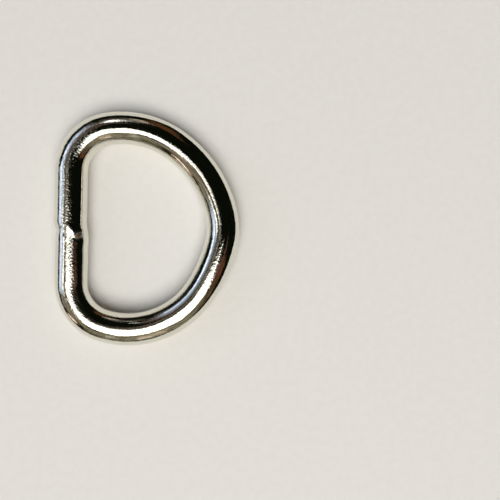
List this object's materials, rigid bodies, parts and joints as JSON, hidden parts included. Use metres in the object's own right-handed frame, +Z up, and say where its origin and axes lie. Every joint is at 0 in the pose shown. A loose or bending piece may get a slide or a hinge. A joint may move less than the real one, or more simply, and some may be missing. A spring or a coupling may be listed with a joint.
{
  "type": "d ring",
  "caption": "Flat D-shaped ring of round nickel-plated steel wire: a straight bar for 25 mm webbing, butt welded at its middle, and a rounded bow to clip a hook to.",
  "frame": {"origin": "under the middle of the ring's outer box, in the plane it lies on", "axes": "+Z up out of the ring's plane, +X from the straight bar to the crown of the bow, +Y along the straight bar towards the upper, rounder bend"},
  "size_m": [0.0274, 0.0346, 0.0048],
  "materials": {
    "nickel": "bright nickel plate over a faintly grained steel wire"
  },
  "bodies": {
    "root": {"d_ring": "nickel"}
  },
  "joints": []
}
